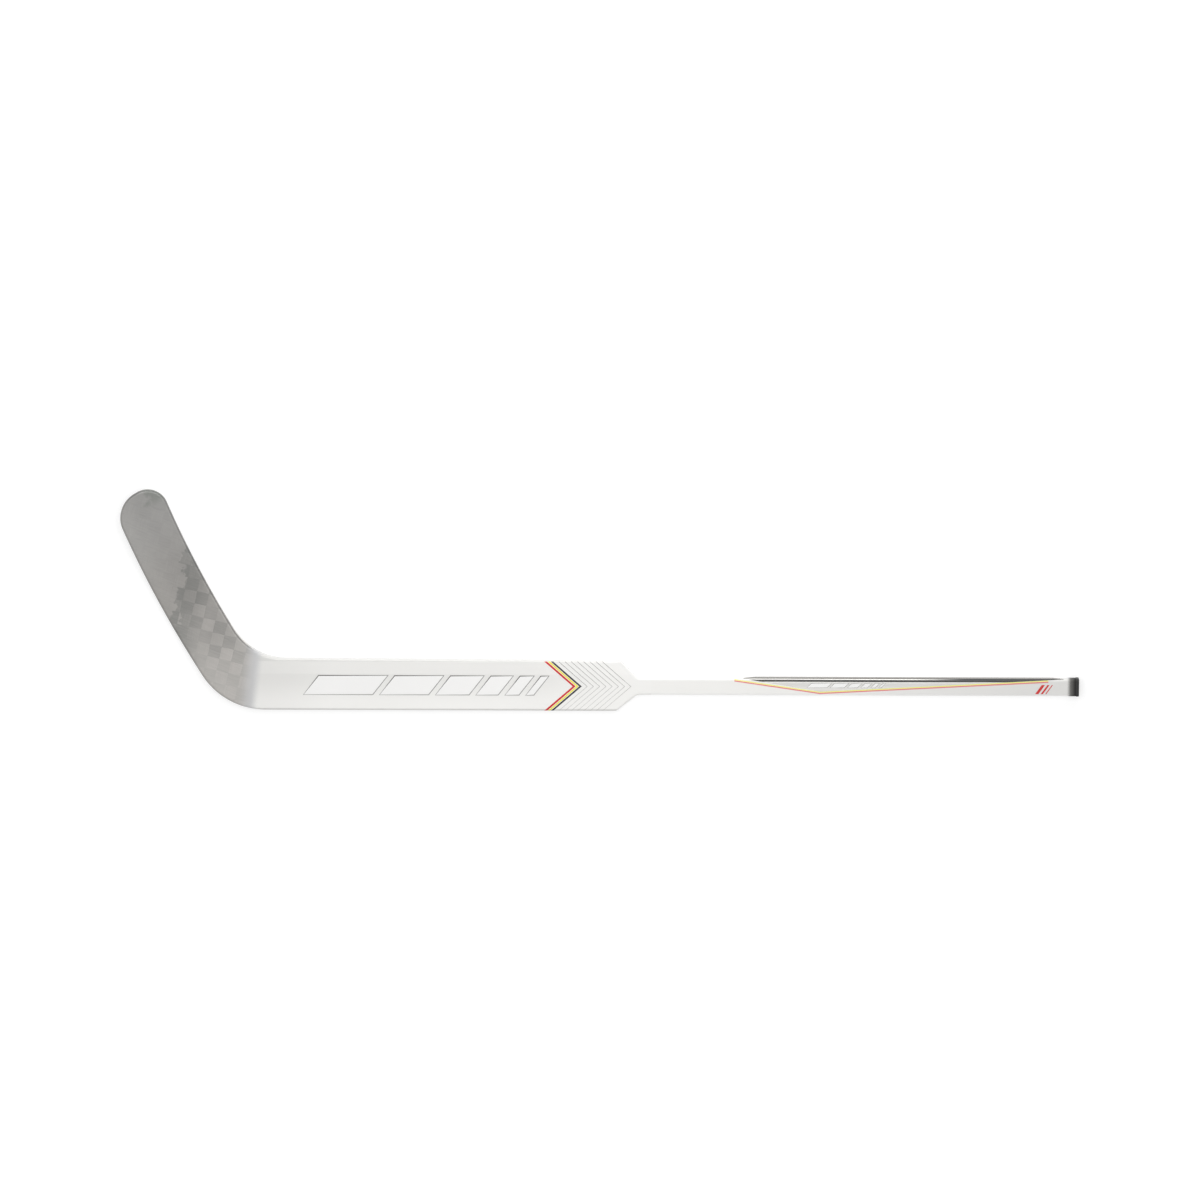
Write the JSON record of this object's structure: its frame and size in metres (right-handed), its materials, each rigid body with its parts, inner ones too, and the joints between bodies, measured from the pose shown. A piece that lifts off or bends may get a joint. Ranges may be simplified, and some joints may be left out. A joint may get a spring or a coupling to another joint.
{
  "type": "goalie stick",
  "caption": "Hockey goalie stick: a curved bare carbon blade, a wide white paddle with sloped shoulders, a slim hollow shaft and a push-fit rubber plug in its butt end.",
  "frame": {"origin": "the heel of the stick, on the centre line of the shaft, in the plane of the flat back that it lies on", "axes": "+X along the shaft from the heel to the butt end, +Y across the paddle towards the side that the blade points to, +Z from the flat back to the front"},
  "size_m": [1.6113, 0.3767, 0.0326],
  "materials": {
    "carbon": "bare woven carbon, satin",
    "white_paint": "satin gloss",
    "foam": "matte foam",
    "rail_wood": "bare",
    "glass_laminate": "bare",
    "tenon_carbon": "bare",
    "plug_rubber": "matte"
  },
  "bodies": {
    "stick": {"blade_front_shell": "carbon", "blade_back_shell": "carbon", "paddle_front_shell": "white_paint", "paddle_back_shell": "white_paint", "shaft_tube": "white_paint", "paddle_upper_core": "foam", "paddle_centre_core": "foam", "paddle_lower_core": "foam", "heel_core": "foam", "blade_lower_core": "foam", "blade_upper_core": "foam", "blade_toe_core": "foam", "paddle_upper_rail": "rail_wood", "paddle_lower_rail": "rail_wood", "shoulder_block": "rail_wood", "paddle_upper_stringer": "glass_laminate", "paddle_lower_stringer": "glass_laminate", "blade_rib": "glass_laminate", "hosel_tenon": "tenon_carbon"},
    "plug": {"end_plug": "plug_rubber"}
  },
  "joints": [
    {"name": "plug_slide", "type": "slide", "parent": "stick", "child": "plug", "axis": [1, 0, 0], "range_m": [0, 0.045]}
  ]
}
